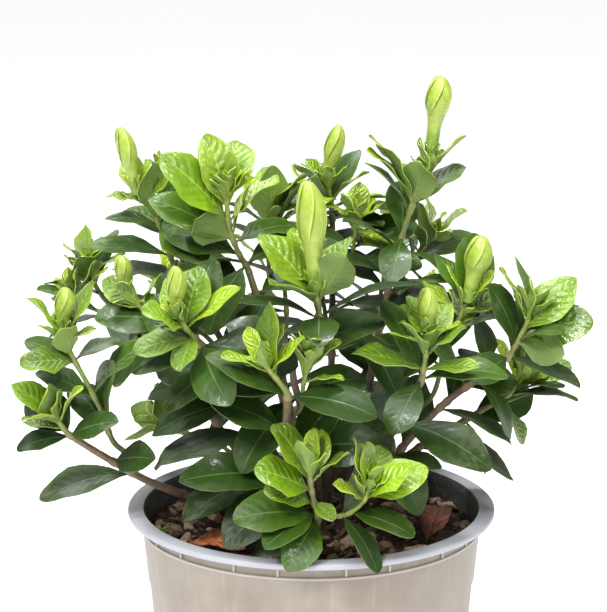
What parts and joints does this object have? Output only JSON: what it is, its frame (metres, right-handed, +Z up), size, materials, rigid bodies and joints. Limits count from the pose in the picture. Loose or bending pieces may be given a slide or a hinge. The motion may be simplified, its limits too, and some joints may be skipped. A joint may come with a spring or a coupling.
{
  "type": "potted gardenia shrub",
  "caption": "Bushy gardenia in bud with glossy leaves on woody stems, growing in bark compost in a round tapered plastic nursery pot.",
  "frame": {"origin": "centre of the flat underside of the pot, on the pot's axis", "axes": "+Z up along the pot's axis, +X to the right and -Y towards the viewer of the plant's front"},
  "size_m": [0.2848, 0.2081, 0.3724],
  "materials": {
    "pot_plastic": "thin warm grey nursery pot plastic, slightly dusty, with a cooler grey rim",
    "compost": "dark brown damp bark compost, loose and crumbly",
    "bark": "dry brown bark chips",
    "woody_stem": "thin grey-brown bark, with old dark green leaves, smooth and fairly glossy",
    "shoot_green": "fresh green shoots with glossy leaves, bright at the tips and dark below",
    "bud_green": "smooth waxy yellow-green flower bud of wrapped petals",
    "dry_orange": "dry curled orange-brown leaf",
    "dry_brown": "dry curled dark red-brown leaf"
  },
  "bodies": {
    "root": {"bark_chip_front": "bark", "bark_chip_left": "bark", "bark_chip_right": "bark", "bud_back": "bud_green", "bud_centre": "bud_green", "bud_front_left": "bud_green", "bud_left": "bud_green", "bud_left_mid": "bud_green", "bud_right": "bud_green", "bud_right_front": "bud_green", "bud_top_centre": "bud_green", "bud_top_left": "bud_green", "bud_top_right": "bud_green", "fallen_leaf_brown": "dry_brown", "fallen_leaf_orange": "dry_orange", "pot": "pot_plastic", "shoot_back_centre": "shoot_green", "shoot_back_left": "shoot_green", "shoot_back_right": "shoot_green", "shoot_back_right_low": "shoot_green", "shoot_back_right_side": "shoot_green", "shoot_back_top": "shoot_green", "shoot_centre_bud": "shoot_green", "shoot_front_centre": "shoot_green", "shoot_front_centre_side": "shoot_green", "shoot_front_left_bud": "shoot_green", "shoot_front_low": "shoot_green", "shoot_front_low_side": "shoot_green", "shoot_left_back": "shoot_green", "shoot_left_back_side": "shoot_green", "shoot_left_bud": "shoot_green", "shoot_left_low": "shoot_green", "shoot_left_mid_bud": "shoot_green", "shoot_low_left_back": "shoot_green", "shoot_right": "shoot_green", "shoot_right_bud": "shoot_green", "shoot_right_front_bud": "shoot_green", "shoot_right_low": "shoot_green", "shoot_top_centre": "shoot_green", "shoot_top_centre_bud": "shoot_green", "shoot_top_centre_left": "shoot_green", "shoot_top_centre_side": "shoot_green", "shoot_top_left_bud": "shoot_green", "shoot_top_left_side": "shoot_green", "shoot_top_right_bud": "shoot_green", "soil": "compost", "stem_back_centre": "woody_stem", "stem_back_left": "woody_stem", "stem_centre": "woody_stem", "stem_centre_left": "woody_stem", "stem_front_centre": "woody_stem", "stem_left": "woody_stem", "stem_left_back": "woody_stem", "stem_left_centre": "woody_stem", "stem_right": "woody_stem", "stem_right_back": "woody_stem", "stem_right_front": "woody_stem", "stem_right_low": "woody_stem", "stem_right_top": "woody_stem"}
  },
  "joints": []
}
